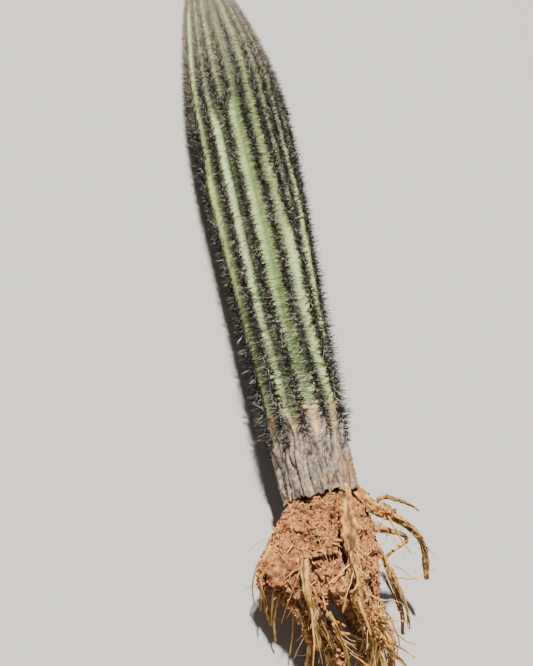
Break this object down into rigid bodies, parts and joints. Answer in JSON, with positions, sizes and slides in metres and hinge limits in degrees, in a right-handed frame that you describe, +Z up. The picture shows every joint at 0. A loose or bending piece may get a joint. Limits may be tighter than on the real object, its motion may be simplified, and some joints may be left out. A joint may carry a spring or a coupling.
{
  "type": "saguaro cactus",
  "caption": "Single-stemmed ribbed columnar cactus, dug up with its roots and a lump of soil and lying on its side.",
  "frame": {"origin": "on the ground under the middle of the plant's box", "axes": "+Y along the stem from its roots to its tip, +X to the right when looking that way, +Z up from the ground it lies on"},
  "size_m": [0.7016, 3.36, 0.4654],
  "materials": {
    "green_skin": "waxy green skin, semi-matte",
    "cork_bark": "dry, fissured cork",
    "spines": "dry grey needles",
    "soil": "dry crumbly soil, fully matte",
    "root_bark": "dry straw-coloured root bark"
  },
  "bodies": {
    "root": {"column": "green_skin", "cork_foot": "cork_bark", "root_back": "root_bark", "root_fork": "root_bark", "root_left": "root_bark", "root_left_outer": "root_bark", "root_left_upper": "root_bark", "root_loop": "root_bark", "root_loop_end": "root_bark", "root_low_middle": "root_bark", "root_low_right": "root_bark", "root_main": "root_bark", "root_middle": "root_bark", "root_right": "root_bark", "root_right_end": "root_bark", "root_right_lower": "root_bark", "root_right_thin": "root_bark", "root_under_middle": "root_bark", "root_under_right": "root_bark", "soil_ball": "soil", "spines_rib_01": "spines", "spines_rib_02": "spines", "spines_rib_03": "spines", "spines_rib_04": "spines", "spines_rib_05": "spines", "spines_rib_06": "spines", "spines_rib_07": "spines", "spines_rib_08": "spines", "spines_rib_09": "spines", "spines_rib_10": "spines", "spines_rib_11": "spines", "spines_rib_12": "spines", "spines_rib_13": "spines", "spines_rib_14": "spines", "spines_rib_15": "spines", "spines_rib_16": "spines", "spines_rib_17": "spines", "spines_rib_18": "spines", "spines_rib_19": "spines", "spines_tip": "spines"}
  },
  "joints": []
}
